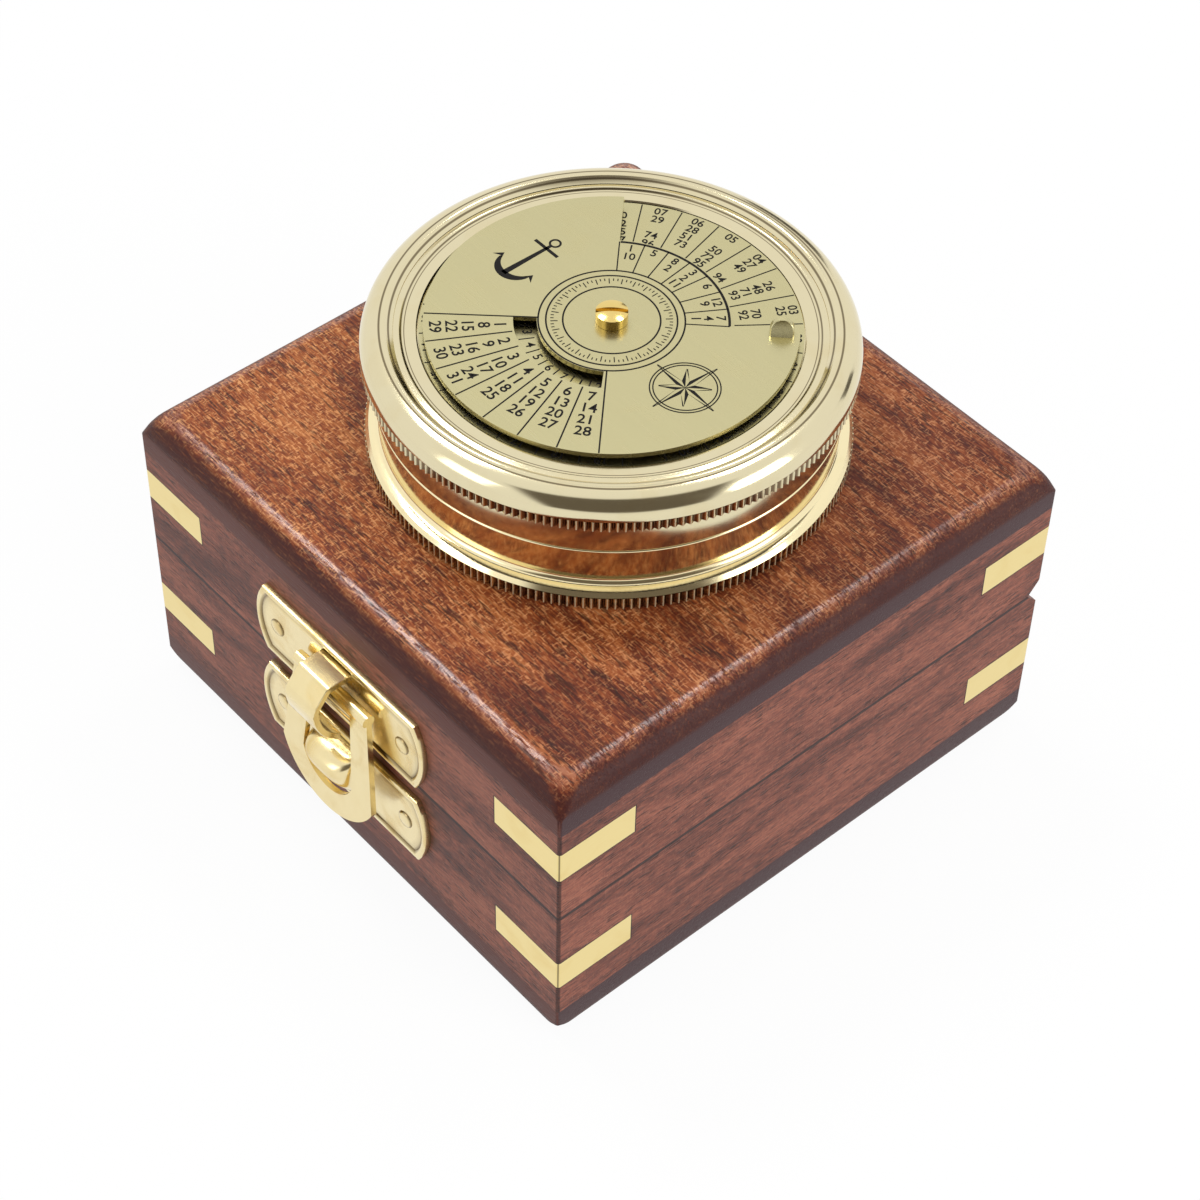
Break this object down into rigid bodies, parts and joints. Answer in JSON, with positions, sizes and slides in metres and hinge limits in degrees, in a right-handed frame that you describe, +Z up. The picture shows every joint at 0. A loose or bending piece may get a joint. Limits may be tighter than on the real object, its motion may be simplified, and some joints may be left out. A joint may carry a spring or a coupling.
{
  "type": "perpetual desk calendar",
  "caption": "Round brass perpetual calendar with a turning dial and knurled rings, on its square wooden case with hinged lid, brass corner strips and hasp latch.",
  "frame": {"origin": "middle of the wooden case's underside", "axes": "+Z up, -Y is the front with the latch, +Y is the hinged back, +X is the right-hand side"},
  "size_m": [0.1, 0.109, 0.0829],
  "materials": {
    "rosewood": "oiled, half matt",
    "insert_wood": "plain, matt",
    "inlay_brass": "flush, fine brushed",
    "polished_brass": "mirror polished",
    "dial_brass": "satin, black filled etching",
    "latch_brass": "stamped, bright",
    "screw_brass": "turned, bright",
    "hinge_brass": "rolled, bright",
    "velvet": "short pile"
  },
  "bodies": {
    "case": {"base_bottom_board": "rosewood", "base_front_wall": "rosewood", "base_back_wall": "rosewood", "base_left_wall": "rosewood", "base_right_wall": "rosewood", "base_corner_inlays": "inlay_brass", "nest_block": "insert_wood", "pocket_pad": "velvet", "catch_plate": "latch_brass", "catch_plate_nails": "latch_brass", "left_hinge_base_leaf": "hinge_brass", "right_hinge_base_leaf": "hinge_brass", "left_hinge_pin": "hinge_brass", "right_hinge_pin": "hinge_brass", "base_hinge_screws": "screw_brass"},
    "lid": {"lid_top_board": "rosewood", "lid_front_wall": "rosewood", "lid_back_wall": "rosewood", "lid_left_wall": "rosewood", "lid_right_wall": "rosewood", "lid_corner_inlays": "inlay_brass", "lid_pad": "velvet", "latch_plate": "latch_brass", "latch_plate_nails": "latch_brass", "left_hinge_lid_leaf": "hinge_brass", "right_hinge_lid_leaf": "hinge_brass", "lid_hinge_screws": "screw_brass"},
    "hasp": {"hasp": "latch_brass"},
    "calendar_cup": {"case_cup": "polished_brass"},
    "calendar_cap": {"case_cap": "polished_brass", "year_disc": "dial_brass", "dial_spacer": "screw_brass", "pivot_screw": "screw_brass", "pivot_nut": "screw_brass"},
    "dial": {"dial_plate": "dial_brass"}
  },
  "joints": [
    {"name": "lid_hinge", "type": "hinge", "parent": "case", "child": "lid", "pos_m": [0, 0.0492, 0.0305], "axis": [-1, 0, 0], "range_deg": [0, 100]},
    {"name": "hasp_hinge", "type": "hinge", "parent": "lid", "child": "hasp", "pos_m": [0.0006, -0.0523, 0.0394], "axis": [-1, 0, 0], "range_deg": [0, 130]},
    {"name": "calendar_lift", "type": "slide", "parent": "lid", "child": "calendar_cup", "axis": [0, 0, 1], "range_m": [0, 0.04]},
    {"name": "cap_turn", "type": "hinge", "parent": "calendar_cup", "child": "calendar_cap", "pos_m": [-0.0008, 0.0031, 0.0684], "axis": [0, 0, 1], "range_deg": [0, 540]},
    {"name": "dial_turn", "type": "hinge", "parent": "calendar_cap", "child": "dial", "pos_m": [-0.0008, 0.0031, 0.0799], "axis": [0, 0, 1], "continuous": true}
  ]
}
